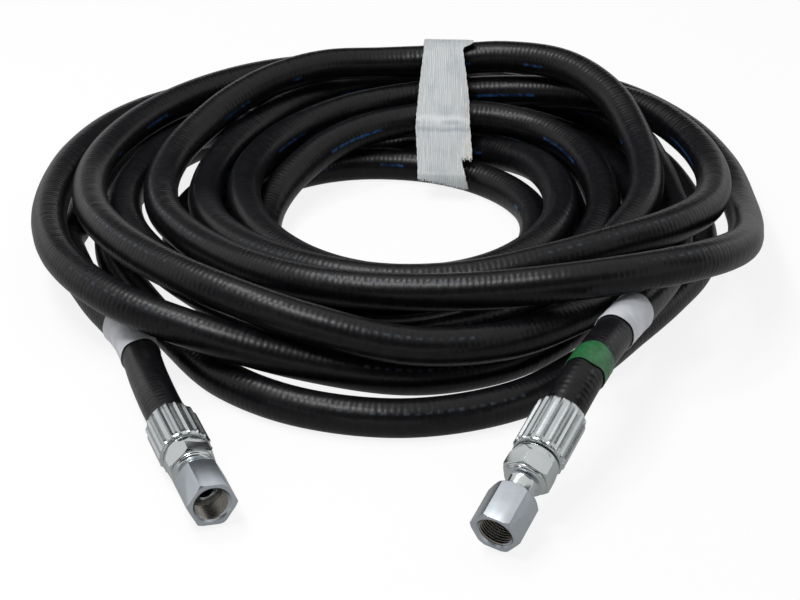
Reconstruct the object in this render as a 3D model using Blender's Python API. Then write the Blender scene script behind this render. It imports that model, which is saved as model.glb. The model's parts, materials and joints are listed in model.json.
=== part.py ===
"""Hydraulic hose assembly: a long wire-braided hose lying in a loose coil, with a crimped
female swivel fitting on each end, a tie strap round the coil, two sleeves and a band.

Metres, +Z up. The coil lies on z = 0. The origin is the middle of the whole part, on the
surface that it lies on. A fitting is built along its own axis, measured from the back of its
ferrule towards the open face of its nut, and then placed.
"""

from math import cos, pi, radians, sin, sqrt, tan

import bmesh
import bpy
import numpy as np
from mathutils import Matrix, Vector

# ---- general fits -------------------------------------------------------------------------

MM = 0.001                    # the tables of points are in millimetres
GAP = 0.0003                  # between neighbouring solids
RUN_GAP = 0.0003              # swivel nut round its neck, radial

# ---- hose ---------------------------------------------------------------------------------

HOSE_BORE = 0.0127
TUBE_WALL = 0.00175           # inner rubber tube
BRAID_WALL = 0.0006           # each of the two wire braids
COVER_WALL = 0.0009
HOSE_R = HOSE_BORE / 2 + TUBE_WALL + 2 * BRAID_WALL + COVER_WALL + 3 * GAP
HOSE_OD = 2 * HOSE_R
FLAT_DEPTH = HOSE_OD / 10     # how far the lowest turns are flattened by what they lie on
FLOOR_Z = HOSE_R - FLAT_DEPTH

# ---- coil ---------------------------------------------------------------------------------

COIL_X = 0.0017               # centre of the coil
COIL_Y = 0.0625
STEPS = 24                    # points per turn
QUARTER = STEPS // 4
TURN_GAP = 0.0016             # wanted between turns that touch
SETTLE_ROUNDS = 520
SINK = 0.0002                 # how far a lifted turn sinks back in one round
EAGER = 1.2                   # share of an overlap that one round pushes away

# Turn by turn from the right-hand end, at the right, the back, the left and the front:
# radius, height, and how far the next quarter bows outwards and upwards (millimetres).
TURNS = [
    ((174, 28, 4, 0), (187, 31, -6, 4), (129, 29, -4, 0), (151, 44, -2, 12)),
    ((200, 35, 4, 0), (150, 33, -2, 0), (105, 30, -2, 0), (128, 31, 0, 0)),
    ((112, 31, 8, 0), (121, 9, 0, 0), (138, 9, 0, 0), (147, 9, 0, 0)),
    ((136, 31, 9, 0), (111, 28, -3, 0), (92, 12, 0, 0), (100, 9, 0, 0)),
    ((96, 9, -1, 0), (98, 9, 0, 0), (115, 9, 0, 0), (123, 9, 0, 0)),
    ((119, 9, 6, 0), (145, 9, 14, 8), (176, 29, -13, 0), (171, 18, -6, -2)),
    ((175, 46, 15, 14), (160, 47, -8, 1), (152, 32, -9, 0), (176, 43, 31, 16)),
    ((219, 18, 10, 4), (211, 30, -4, 4), (203, 42, -6, 6), (222, 32, -10, 12)),
    ((166, 9, 12, 0), (201, 9, 8, 5), (228, 31, 12, 10), (213, 9, -10, 0)),
    ((142, 9, 10, 0), (177, 9, 4, 0), (186, 9, -6, 0), (222, 9, -27, 0)),
    ((182, 9, 8, 0), (224, 9, 4, 0), (212, 9, 0, 0)),
]

# ---- fittings, along the axis from the back of the ferrule --------------------------------

FERRULE_LENGTH = 0.0335
FERRULE_WALL = 0.0032         # over the hose
FERRULE_SHOULDER = 0.0060     # length of its rounded back
FERRULE_NOSE = 0.0040         # length of the swelling that the crimping leaves at its front
FERRULE_WALL_FRONT = 0.0020   # thickness of the wall that locks on the stem
FLUTES = 18                   # crimp grooves
FLUTE_DEPTH = 0.0009
HOSE_IN = 0.0015              # how far the free hose enters the ferrule
LAYER_END = 0.0285            # where the hose inside the ferrule stops

STEM_BORE = 0.0095
STEM_TAIL = 0.0035            # where the tail starts
BARBS = 3
BARB_DEPTH = 0.0004
LOCK_D = 0.0160               # stem where the ferrule locks on it
HEX_FRONT = 0.0485
COLLAR_D = 0.0232
COLLAR_END = 0.0512
NECK_D = 0.0152
HEAD_D = 0.0166
HEAD_BACK = 0.0660
STEM_TIP = 0.0715
SEAT_D = 0.0146
SEAT_ANGLE = 37               # of the seat's cone, from the axis

HEX_AF = 0.0240               # across flats, stem and nut alike
NUT_LENGTH = 0.0270
NUT_BACK_D = 0.0200           # of the flat at the nut's back
NUT_WEB = 0.0052
NUT_BORE_D = 0.0176           # minor diameter of a 3/4-16 thread
NUT_RELIEF_D = 0.0186
NUT_MOUTH_D = 0.0204
NUT_TRAVEL = 0.0040           # how much farther forward the right-hand nut stands
NUT_BACK = {"left": 0.0560, "right": 0.0560 + NUT_TRAVEL}

# Back of each ferrule, direction of its axis, and the roll of the stem's hexagon and the nut's.
FITTING_AT = {"left": (-0.1242, -0.2557, 0.0153), "right": (0.0849, -0.2843, 0.0388)}
FITTING_AXIS = {"left": (0.351, -0.936, -0.016), "right": (-0.438, -0.850, -0.291)}
STEM_ROLL = {"left": -18, "right": -31}
NUT_ROLL = {"left": -5, "right": -10}

# Free hose between each ferrule and the coil, by points it passes through (millimetres).
RIGHT_END = [(107, -238, 48), (125, -194, 43), (147, -145, 36.5), (165, -95, 32.5)]
LEFT_END = [(-202, -62, 9), (-181, -108, 9), (-157, -152, 10), (-142, -202, 12.8)]
END_STEP = 0.030              # between the points of a free stretch
STRAIGHT = 0.0240             # straight hose at each end of a stretch

# ---- dressings ----------------------------------------------------------------------------

SLEEVE_WALL = 0.0003
BAND_WALL = 0.0003
BAND_START = 0.030            # along the hose from the ferrule
BAND_LENGTH = 0.0155
RIGHT_SLEEVE_START = 0.082
RIGHT_SLEEVE_LENGTH = 0.038
LEFT_SLEEVE_START = 0.084
LEFT_SLEEVE_LENGTH = 0.044
STRAP_X = 0.0245              # where the strap's line crosses the coil's own X axis
STRAP_ANGLE = 87.4            # of the strap's line, degrees
STRAP_WIDTH = 0.0395
STRAP_WALL = 0.0006
STRAP_GAP = 0.0007
STRAP_TUCK = 44               # how far each end wraps below the level of a turn's middle, degrees

MATERIALS = {
    "hose_rubber": ((0.012, 0.012, 0.014), 0.0, 0.42),
    "inner_rubber": ((0.02, 0.02, 0.02), 0.0, 0.6),
    "braid_wire": ((0.55, 0.53, 0.48), 1.0, 0.35),
    "zinc_ferrule": ((0.72, 0.74, 0.75), 1.0, 0.25),
    "zinc_stem": ((0.70, 0.73, 0.75), 1.0, 0.28),
    "zinc_nut": ((0.66, 0.70, 0.74), 1.0, 0.34),
    "paper": ((0.62, 0.63, 0.66), 0.0, 0.6),
    "green_tape": ((0.02, 0.10, 0.05), 0.0, 0.4),
    "strap_film": ((0.72, 0.73, 0.74), 0.0, 0.35),
}


# ---- helpers ------------------------------------------------------------------------------

def clear_scene():
    for thing in list(bpy.data.objects):
        bpy.data.objects.remove(thing, do_unlink=True)


def paint(thing, name):
    colour, metallic, rough = MATERIALS[name]
    mat = bpy.data.materials.get(name) or bpy.data.materials.new(name)
    mat.use_nodes = True
    shader = mat.node_tree.nodes["Principled BSDF"]
    shader.inputs["Base Color"].default_value = (*colour, 1.0)
    shader.inputs["Metallic"].default_value = metallic
    shader.inputs["Roughness"].default_value = rough
    thing.data.materials.clear()
    thing.data.materials.append(mat)


def mesh_object(name, verts, faces, material):
    mesh = bpy.data.meshes.new(name)
    mesh.from_pydata([tuple(v) for v in verts], [], faces)
    bm = bmesh.new()
    bm.from_mesh(mesh)
    bmesh.ops.recalc_face_normals(bm, faces=bm.faces)
    bm.to_mesh(mesh)
    bm.free()
    mesh.shade_smooth()
    mesh.set_sharp_from_angle(angle=radians(32))
    thing = bpy.data.objects.new(name, mesh)
    bpy.context.scene.collection.objects.link(thing)
    paint(thing, material)
    return thing


def ring_body(name, rings, material):
    """A ring-shaped solid from closed rings of points, the last joined to the first."""
    count = len(rings[0])
    verts = [p for ring in rings for p in ring]
    faces = []
    for k in range(len(rings)):
        a = k * count
        b = (k + 1) % len(rings) * count
        for i in range(count):
            j = (i + 1) % count
            faces.append((a + i, a + j, b + j, b + i))
    return mesh_object(name, verts, faces, material)


def turned_rings(profile, sides, shape=None):
    """Rings of a profile of (along, radius) pairs. shape(along, radius, angle) alters a radius."""
    rings = []
    for along, radius in profile:
        ring = []
        for k in range(sides):
            angle = 2 * pi * k / sides
            r = shape(along, radius, angle) if shape else radius
            ring.append((r * cos(angle), r * sin(angle), along))
        rings.append(ring)
    return rings


def hexed(radius, angle, flats):
    """The radius at an angle of a turned shape cut down to a hexagon with a corner at 0."""
    off = (angle + pi / 6) % (pi / 3) - pi / 6
    return min(radius, flats / 2 / cos(pi / 6 - abs(off)))


def axis_frame(side, roll=0.0):
    """World placement of a fitting: its +Z runs along the axis and its +X is level."""
    d = Vector(FITTING_AXIS[side]).normalized()
    x = Vector((0, 0, 1)).cross(d).normalized()
    y = d.cross(x)
    place = Matrix(((x.x, y.x, d.x), (x.y, y.y, d.y), (x.z, y.z, d.z))).to_4x4()
    at = Vector(FITTING_AT[side]) + Vector((COIL_X, COIL_Y, 0))
    return Matrix.Translation(at) @ place @ Matrix.Rotation(radians(roll), 4, "Z")


# ---- the route of the hose ----------------------------------------------------------------

def catmull(a, b, c, d, t):
    """A smooth step from b to c, with a before them and d after."""
    return 0.5 * (2 * b + (c - a) * t + (2 * a - 5 * b + 4 * c - d) * t * t
                  + (3 * b - a - 3 * c + d) * t ** 3)


def coil_route():
    """Points of the coil as it is laid, before its turns settle against each other."""
    stations = [np.array(station) * MM for turn in TURNS for station in turn]
    last = len(stations) - 1
    points = []
    for i in range(last):
        near = [stations[min(max(k, 0), last)][:2] for k in (i - 1, i, i + 1, i + 2)]
        for j in range(QUARTER):
            t = j / QUARTER
            radius, height = catmull(*near, t) + stations[i][2:] * sin(pi * t) ** 2
            angle = (i + t) * pi / 2
            points.append((radius * cos(angle), radius * sin(angle), max(height, FLOOR_Z)))
    radius, height = stations[last][:2]
    points.append((radius * cos(last * pi / 2), radius * sin(last * pi / 2), height))
    return np.array(points)


def smooth_route(points, spacing):
    """Points about a spacing apart on a smooth curve through the given ones."""
    last = len(points) - 1
    route = []
    for i in range(last):
        near = [points[min(max(k, 0), last)] for k in (i - 1, i, i + 1, i + 2)]
        steps = max(1, round(float(np.linalg.norm(near[2] - near[1])) / spacing))
        route += [catmull(*near, j / steps) for j in range(steps)]
    return np.array(route + [points[last]])


def closest(x, i, j):
    """Where segments i and j of a path come nearest: their shares, and the way across."""
    d1 = x[i + 1] - x[i]
    d2 = x[j + 1] - x[j]
    r = x[i] - x[j]
    a = (d1 * d1).sum(1)
    b = (d1 * d2).sum(1)
    e = (d2 * d2).sum(1)
    c = (d1 * r).sum(1)
    f = (d2 * r).sum(1)
    det = a * e - b * b
    s = np.where(det > 1e-3 * a * e, (b * f - c * e) / np.maximum(det, 1e-12), 0.5)
    s = np.clip(s, 0, 1)
    t = np.clip((b * s + f) / e, 0, 1)
    s = np.clip((b * t - c) / a, 0, 1)
    across = x[j] + d2 * t[:, None] - x[i] - d1 * s[:, None]
    return s, t, across


def settle(path, loose):
    """Push turns that meet apart, let lifted ones sink back, and keep the bends fair."""
    want = HOSE_OD + TURN_GAP
    home = path.copy()
    x = path.copy()
    i, j = np.triu_indices(len(x) - 1, 3)
    for step in range(SETTLE_ROUNDS):
        s, t, across = closest(x, i, j)
        far = np.sqrt((across * across).sum(1))
        hit = far < want
        move = np.zeros_like(x)
        count = np.zeros(len(x))
        push = across[hit] / far[hit][:, None] * ((want - far[hit]) / 2)[:, None]
        for seg, share, way in ((i[hit], s[hit], -1), (j[hit], t[hit], 1)):
            norm = (1 - share) ** 2 + share ** 2
            for end, weight in ((0, (1 - share) / norm), (1, share / norm)):
                np.add.at(move, seg + end, way * push * weight[:, None])
                np.add.at(count, seg + end, weight)
        x += EAGER * move / np.maximum(count, 1)[:, None]
        if step < SETTLE_ROUNDS * 0.7:
            x[:, 2] -= np.clip(x[:, 2] - home[:, 2], 0, SINK)
        x[:, 2] = np.maximum(x[:, 2], FLOOR_Z)
        shift = x - home
        fair = shift.copy()
        fair[1:-1] = (shift[:-2] + 2 * shift[1:-1] + shift[2:]) / 4
        shift += (0.22 if step < SETTLE_ROUNDS * 0.75 else 0.1) * (fair - shift)
        x = home + shift * (0.996 if step < SETTLE_ROUNDS * 0.6 else 1.0)
        x[:, 2] = np.maximum(x[:, 2], FLOOR_Z)
        x[~loose] = home[~loose]
    return x


def least_gap(x):
    """The least gap between the hose and itself, away from its own bend."""
    i, j = np.triu_indices(len(x) - 1, 3)
    across = closest(x, i, j)[2]
    return float(np.sqrt((across * across).sum(1)).min()) - HOSE_OD


def ferrule_mouth(side):
    """The middle of the hose where it enters a ferrule, and the way it leaves it."""
    frame = np.array(axis_frame(side))
    back = frame[:3, 3] - (COIL_X, COIL_Y, 0)
    return back, -frame[:3, 2]


def hose_route():
    """The whole hose: the right free stretch, the coil and the left free stretch."""
    coil = coil_route()
    mouth, out = ferrule_mouth("right")
    lead = (coil[0] - coil[1]) / np.linalg.norm(coil[0] - coil[1])
    via = [mouth + out * STRAIGHT] + [np.array(p) * MM for p in RIGHT_END]
    via.append(coil[0] + lead * STRAIGHT)
    right = np.vstack([[mouth], smooth_route(via, END_STEP), [coil[0]]])
    mouth, out = ferrule_mouth("left")
    lead = (coil[-1] - coil[-2]) / np.linalg.norm(coil[-1] - coil[-2])
    via = [coil[-1] + lead * STRAIGHT] + [np.array(p) * MM for p in LEFT_END]
    via.append(mouth + out * STRAIGHT)
    left = np.vstack([[coil[-1]], smooth_route(via, END_STEP), [mouth]])
    path = np.vstack([right[:-1], coil, left[1:]])
    first = len(right) - 1
    last = first + len(coil)
    loose = np.zeros(len(path), bool)
    loose[first + 2:last - 2] = True
    path = settle(path, loose)
    coil = path[first:last]
    centre = np.array((COIL_X, COIL_Y, 0))
    print("least gap of the hose to itself, mm:", round(least_gap(path) / MM, 2))
    print("least gap among the coil's turns, mm:", round(least_gap(coil) / MM, 2))
    length = np.linalg.norm(np.diff(path, axis=0), axis=1).sum()
    print("length of hose between the ferrules, m:", round(float(length), 3))
    return right + centre, coil + centre, left + centre


def tube(name, points, sides_setting, material):
    """A solid round tube along points, with flat ends."""
    curve = bpy.data.curves.new(name, "CURVE")
    curve.dimensions = "3D"
    curve.bevel_depth = HOSE_R
    curve.bevel_resolution = sides_setting
    curve.use_fill_caps = True
    spline = curve.splines.new("POLY")
    spline.points.add(len(points) - 1)
    for point, place in zip(spline.points, points):
        point.co = (*place, 1.0)
    thing = bpy.data.objects.new(name, curve)
    bpy.context.scene.collection.objects.link(thing)
    thing.data.materials.append(None)
    paint(thing, material)
    return thing


def as_mesh(thing):
    """The same object with its evaluated shape as its mesh."""
    name = thing.name
    graph = bpy.context.evaluated_depsgraph_get()
    mesh = bpy.data.meshes.new_from_object(thing.evaluated_get(graph))
    place = thing.matrix_world.copy()
    bpy.data.objects.remove(thing, do_unlink=True)
    made = bpy.data.objects.new(name, mesh)
    made.matrix_world = place
    bpy.context.scene.collection.objects.link(made)
    return made


def cut_by(thing, cutter):
    """Cut one solid out of another and drop the cutter."""
    cutter.hide_render = True
    cutter.display_type = "WIRE"
    cut = thing.modifiers.new("cut", "BOOLEAN")
    cut.operation = "DIFFERENCE"
    cut.solver = "EXACT"
    cut.object = cutter
    bpy.context.view_layer.update()
    made = as_mesh(thing)
    bpy.data.objects.remove(cutter, do_unlink=True)
    return made


def flatten_below(thing, material):
    """Cut a solid flat where it lies on z = 0."""
    size = 0.4
    low = 0.02
    square = ((-size, -size), (size, -size), (size, size), (-size, size))
    corners = [(x, y, z) for z in (-low, 0) for x, y in square]
    faces = [(0, 1, 2, 3), (4, 5, 6, 7), (0, 1, 5, 4), (1, 2, 6, 5), (2, 3, 7, 6), (3, 0, 4, 7)]
    slab = mesh_object("slab", corners, faces, material)
    made = cut_by(thing, slab)
    paint(made, material)
    return made


# ---- the hose -----------------------------------------------------------------------------

def trimmed(points, start, end):
    """A run of points with a little taken off its first and its last segment."""
    points = points.copy()
    first = points[1] - points[0]
    last = points[-2] - points[-1]
    points[0] = points[0] + first / np.linalg.norm(first) * start
    points[-1] = points[-1] + last / np.linalg.norm(last) * end
    return points


def make_hose(right, coil, left):
    made = tube("hose_coil", coil, 1, "hose_rubber")
    flatten_below(as_mesh(made), "hose_rubber")
    made = tube("hose_end_right", trimmed(right, -HOSE_IN, GAP), 3, "hose_rubber")
    made = tube("hose_end_left", trimmed(left, GAP, -HOSE_IN), 3, "hose_rubber")
    flatten_below(as_mesh(made), "hose_rubber")


def swept_sleeve(name, points, start, length, wall, material):
    """A thin sleeve round the hose, a stretch of its route long."""
    arc = np.concatenate([[0], np.cumsum(np.linalg.norm(np.diff(points, axis=0), axis=1))])
    stops = [start] + [a for a in arc if start + 0.002 < a < start + length - 0.002]
    stops.append(start + length)
    path = np.array([[np.interp(a, arc, points[:, k]) for k in range(3)] for a in stops])
    sides = 24
    rings = []
    for radius, order in ((HOSE_R + GAP, path), (HOSE_R + GAP + wall, path[::-1])):
        for k in range(len(order)):
            ahead = order[min(k + 1, len(order) - 1)] - order[max(k - 1, 0)]
            d = Vector(ahead).normalized()
            if radius > HOSE_R + GAP:
                d = -d
            x = Vector((0, 0, 1)).cross(d).normalized()
            y = d.cross(x)
            at = Vector(order[k])
            turn = [2 * pi * i / sides for i in range(sides)]
            rings.append([at + (x * cos(a) + y * sin(a)) * radius for a in turn])
    return ring_body(name, rings, material)


# ---- the fittings -------------------------------------------------------------------------

def make_layers(side, frame):
    """The hose inside a ferrule: its tube, two wire braids and cover, one round the other."""
    bore = HOSE_BORE / 2
    tube_out = bore + TUBE_WALL
    braid = tube_out + GAP
    second = braid + BRAID_WALL + GAP
    cover = second + BRAID_WALL + GAP
    layers = [
        ("inner_tube", bore, tube_out, "inner_rubber"),
        ("wire_braid_inner", braid, braid + BRAID_WALL, "braid_wire"),
        ("wire_braid_outer", second, second + BRAID_WALL, "braid_wire"),
        ("hose_cover_end", cover, HOSE_R, "hose_rubber"),
    ]
    back = HOSE_IN + GAP
    for name, r_in, r_out, material in layers:
        profile = [(back, r_out), (LAYER_END, r_out), (LAYER_END, r_in), (back, r_in)]
        made = ring_body(name + "_" + side, turned_rings(profile, 24), material)
        made.matrix_world = frame


def fluted(along, radius, angle):
    """A ferrule's outside: narrow ridges between the grooves that the crimping left."""
    if radius < HOSE_R + GAP + FERRULE_WALL / 4:
        return radius
    wave = 0.5 - 0.5 * cos(FLUTES * angle)
    run = min(1.0, 1.5 * along / FERRULE_SHOULDER, 2 * (FERRULE_LENGTH - along) / FERRULE_NOSE)
    return radius - FLUTE_DEPTH * wave * max(0.0, run)


def make_ferrule(side, frame):
    inner = HOSE_R + GAP
    r = inner + FERRULE_WALL
    back = FERRULE_SHOULDER
    nose = FERRULE_NOSE
    end = FERRULE_LENGTH
    lock = LOCK_D / 2 + GAP
    profile = [
        (0.0, r - FERRULE_WALL * 0.7), (back * 0.15, r - FERRULE_WALL * 0.28),
        (back * 0.43, r - FERRULE_WALL * 0.03), (back, r), (end - nose, r),
        (end - nose * 0.4, r), (end - nose * 0.12, r - FERRULE_WALL * 0.17),
        (end, r - FERRULE_WALL * 0.5), (end, lock), (end - FERRULE_WALL_FRONT, lock),
        (end - FERRULE_WALL_FRONT, inner), (0.0, inner),
    ]
    made = ring_body("crimp_ferrule_" + side, turned_rings(profile, FLUTES * 5, fluted), "zinc_ferrule")
    made.matrix_world = frame


def stem_profile():
    """Outside from the tail to the tip, then the seat's cone and the bore back again."""
    bore = STEM_BORE / 2
    tail = HOSE_BORE / 2 - GAP
    lock = LOCK_D / 2
    face = FERRULE_LENGTH + GAP
    hex_r = HEX_AF / sqrt(3)
    collar = COLLAR_D / 2
    neck = NECK_D / 2
    head = HEAD_D / 2
    seat = SEAT_D / 2
    tail_end = FERRULE_LENGTH - FERRULE_WALL_FRONT + 0.0004
    pitch = (tail_end - 0.004 - STEM_TAIL) / BARBS
    profile = [(STEM_TAIL, tail - 0.0007)]
    for k in range(BARBS):
        at = STEM_TAIL + 0.0012 + pitch * k
        profile += [(at + pitch * 0.72, tail), (at + pitch * 0.78, tail - BARB_DEPTH)]
    profile += [(tail_end, tail - BARB_DEPTH), (tail_end, lock), (face, lock), (face, hex_r - 0.0020)]
    profile += [(face + 0.0016, hex_r - 0.0008), (face + 0.0044, hex_r + 0.0002)]
    profile += [(HEX_FRONT - 0.0009, hex_r + 0.0002), (HEX_FRONT, hex_r - 0.0013)]
    profile += [(HEX_FRONT, collar), (HEX_FRONT + 0.0011, collar), (HEX_FRONT + 0.0014, collar - 0.0006)]
    profile += [(COLLAR_END - 0.0008, collar - 0.0006), (COLLAR_END, collar - 0.0016)]
    profile += [(COLLAR_END + 0.0003, neck + 0.0008), (COLLAR_END + 0.0012, neck)]
    profile += [(HEAD_BACK - 0.0004, neck), (HEAD_BACK, head), (STEM_TIP - 0.0010, head)]
    profile += [(STEM_TIP, head - 0.0006), (STEM_TIP, seat)]
    profile += [(STEM_TIP - (seat - bore) / tan(radians(SEAT_ANGLE)), bore), (STEM_TAIL, bore)]
    return profile


def stem_shape(along, radius, angle):
    """Only the wrench part of the stem is a hexagon."""
    if FERRULE_LENGTH < along <= HEX_FRONT and radius > HEX_AF / 2 - 0.0015:
        return hexed(radius, angle, HEX_AF)
    return radius


def make_stem(side, frame):
    rings = turned_rings(stem_profile(), 36, stem_shape)
    made = ring_body("stem_" + side, rings, "zinc_stem")
    made.matrix_world = frame


def nut_profile():
    """Outside from the back to the front, then the mouth, the thread's bore and the web."""
    length = NUT_LENGTH
    corner = HEX_AF / sqrt(3) + 0.0001
    back = NUT_BACK_D / 2
    bore = NUT_BORE_D / 2
    relief = NUT_RELIEF_D / 2
    mouth = NUT_MOUTH_D / 2
    hole = NECK_D / 2 + RUN_GAP
    return [
        (0.0, back), (0.0009, back + 0.0014), (0.0036, corner), (length - 0.0008, corner),
        (length, corner - 0.0013), (length, mouth), (length - (mouth - bore) * 1.2, bore),
        (0.0100, bore), (0.0094, relief), (NUT_WEB + 0.0004, relief), (NUT_WEB, relief - 0.0004),
        (NUT_WEB, hole), (0.0, hole),
    ]


def make_nut(side):
    """A swivel nut, its origin on its own axis at its back face."""
    rings = turned_rings(nut_profile(), 36, lambda s, r, a: hexed(r, a, HEX_AF))
    made = ring_body("swivel_nut_" + side, rings, "zinc_nut")
    frame = axis_frame(side, NUT_ROLL[side])
    made.matrix_world = frame @ Matrix.Translation((0, 0, NUT_BACK[side]))
    print(made.name, "joint at", [round(v, 6) for v in made.matrix_world.translation],
          "axis", [round(v, 6) for v in made.matrix_world.to_3x3().col[2]])


# ---- the strap ----------------------------------------------------------------------------

def make_strap(coil):
    """A strap drawn tight round the coil's section, its ends tucked in under the outside turns."""
    centre = np.array((COIL_X + STRAP_X, COIL_Y, 0))
    turn = radians(STRAP_ANGLE)
    out = np.array((cos(turn), sin(turn), 0))
    side = np.array((-sin(turn), cos(turn), 0))
    up = np.array((0, 0, 1))
    route = coil - centre
    fine = [smooth_route(route, HOSE_R / 2)]
    fine += [route[:-1] * (1 - t) + route[1:] * t for t in (0.25, 0.5, 0.75)]
    reach = STRAP_WIDTH / 2 + HOSE_R
    held = [p for p in np.vstack(fine) if abs(p @ side) < reach and p @ out > 0]
    inside = HOSE_R + STRAP_GAP
    verts = []
    count = 2 * STRAP_TUCK + 60
    for k in range(count):
        angle = radians(180 + STRAP_TUCK - (180 + 2 * STRAP_TUCK) * k / (count - 1))
        way = out * cos(angle) + up * sin(angle)
        far = max(held, key=lambda p: p @ way)
        far = out * (far @ out) + up * far[2]
        for radius in (inside, inside + STRAP_WALL):
            for across in (-STRAP_WIDTH / 2, STRAP_WIDTH / 2):
                verts.append(centre + far + way * radius + side * across)
    faces = [(0, 1, 3, 2)]
    for k in range(count - 1):
        a = 4 * k
        b = a + 4
        faces += [(a, b, b + 1, a + 1), (a + 2, a + 3, b + 3, b + 2)]
        faces += [(a, a + 2, b + 2, b), (a + 1, b + 1, b + 3, a + 3)]
    end = 4 * (count - 1)
    faces.append((end, end + 2, end + 3, end + 1))
    mesh_object("tie_strap", verts, faces, "strap_film")


# ---- the whole part -----------------------------------------------------------------------

def main():
    clear_scene()
    right, coil, left = hose_route()
    make_hose(right, coil, left)
    for side in ("left", "right"):
        frame = axis_frame(side)
        make_layers(side, frame)
        make_ferrule(side, frame)
        make_stem(side, axis_frame(side, STEM_ROLL[side]))
        make_nut(side)
    swept_sleeve("green_band_right", right, BAND_START, BAND_LENGTH, BAND_WALL, "green_tape")
    swept_sleeve("label_sleeve_right", right, RIGHT_SLEEVE_START, RIGHT_SLEEVE_LENGTH,
                 SLEEVE_WALL, "paper")
    made = swept_sleeve("label_sleeve_left", left[::-1], LEFT_SLEEVE_START, LEFT_SLEEVE_LENGTH,
                        SLEEVE_WALL, "paper")
    flatten_below(made, "paper")
    make_strap(coil)
    bpy.context.view_layer.update()
    low = np.full(3, 9.0)
    high = np.full(3, -9.0)
    graph = bpy.context.evaluated_depsgraph_get()
    for thing in bpy.context.scene.objects:
        mesh = thing.evaluated_get(graph).to_mesh()
        spots = np.array([thing.matrix_world @ v.co for v in mesh.vertices])
        low = np.minimum(low, spots.min(0))
        high = np.maximum(high, spots.max(0))
        thing.evaluated_get(graph).to_mesh_clear()
    print("box, mm:", (low / MM).round(2), (high / MM).round(2))


main()
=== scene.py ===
# %% [markdown]
# # A hydraulic hose assembly, dressed in Blender
#
# The real object is 11 m of half-inch rubber hose with two layers of wire inside, wound into a
# loose coil. Each end has a crimped ferrule, a stem with a wrench hexagon and a swivel nut. A
# filament tape holds the back of the coil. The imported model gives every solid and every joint;
# this lesson gives it the surfaces that a person would see.

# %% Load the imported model
import json
from math import cos, pi, radians, sin, sqrt, tan

import bmesh
import bpy
import numpy as np
from mathutils import Matrix, Vector


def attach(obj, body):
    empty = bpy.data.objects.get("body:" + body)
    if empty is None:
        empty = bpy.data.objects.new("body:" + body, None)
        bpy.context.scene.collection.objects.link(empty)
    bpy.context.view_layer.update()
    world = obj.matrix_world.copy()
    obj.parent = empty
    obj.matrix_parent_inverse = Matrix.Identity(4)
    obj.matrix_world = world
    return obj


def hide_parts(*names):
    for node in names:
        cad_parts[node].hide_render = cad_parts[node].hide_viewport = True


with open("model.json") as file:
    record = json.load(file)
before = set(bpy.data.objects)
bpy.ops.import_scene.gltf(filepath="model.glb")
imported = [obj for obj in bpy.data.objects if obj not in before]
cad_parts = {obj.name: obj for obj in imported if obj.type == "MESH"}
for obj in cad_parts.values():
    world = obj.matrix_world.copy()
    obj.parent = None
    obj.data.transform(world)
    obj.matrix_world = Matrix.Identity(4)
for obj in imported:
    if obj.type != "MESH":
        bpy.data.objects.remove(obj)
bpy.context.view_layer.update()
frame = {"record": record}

# %% [markdown]
# ## The camera
#
# A camera is set by three things: where it stands, where it looks and its focal length. A long
# lens from a metre and a third away flattens the coil as a product picture does.

# %% Camera
COIL_X = 0.0017               # centre of the coil
COIL_Y = 0.0625
CAMERA_BACK = 1.2026          # from the coil's centre
CAMERA_HEIGHT = 0.594
CAMERA_DOWN = 28              # degrees below level
lens_data = bpy.data.cameras.new("camera")
lens_data.sensor_width = 36
lens_data.lens = 92.25
lens_data.clip_start = 0.01
camera = bpy.data.objects.new("camera", lens_data)
camera.location = (COIL_X, COIL_Y - CAMERA_BACK, CAMERA_HEIGHT)
camera.rotation_euler = (radians(90 - CAMERA_DOWN), 0, 0)
bpy.context.scene.collection.objects.link(camera)
bpy.context.scene.camera = camera
print("camera at", tuple(round(v, 3) for v in camera.location))

# %% [markdown]
# ## The route of the hose
#
# A coil thrown down by hand is not a spiral: each turn has its own radius, it dips and climbs
# where it crosses the ones below, and it leans outwards where it was pulled. So each quarter of
# a turn has its own radius and height, a smooth curve runs through them, and then the turns
# are let settle: where two meet they push apart, what was lifted sinks back, and every bend is
# kept fair. The same sums place the plain solids, so the hose lies where they lie.

# %% Sizes and stations of the route
GAP = 0.0003                  # between neighbouring solids
HOSE_OD = 0.0222
HOSE_R = HOSE_OD / 2
FLOOR_Z = HOSE_R - HOSE_OD / 10
QUARTER = 6                   # points in a quarter of a turn
TURN_GAP = 0.0016             # wanted between turns that touch
SETTLE_ROUNDS = 520
SINK = 0.0002                 # how far a lifted turn sinks back in one round
EAGER = 1.2                   # share of an overlap that one round pushes away
HOMING = 0.996                # share of a shift that is left after one early round
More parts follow.
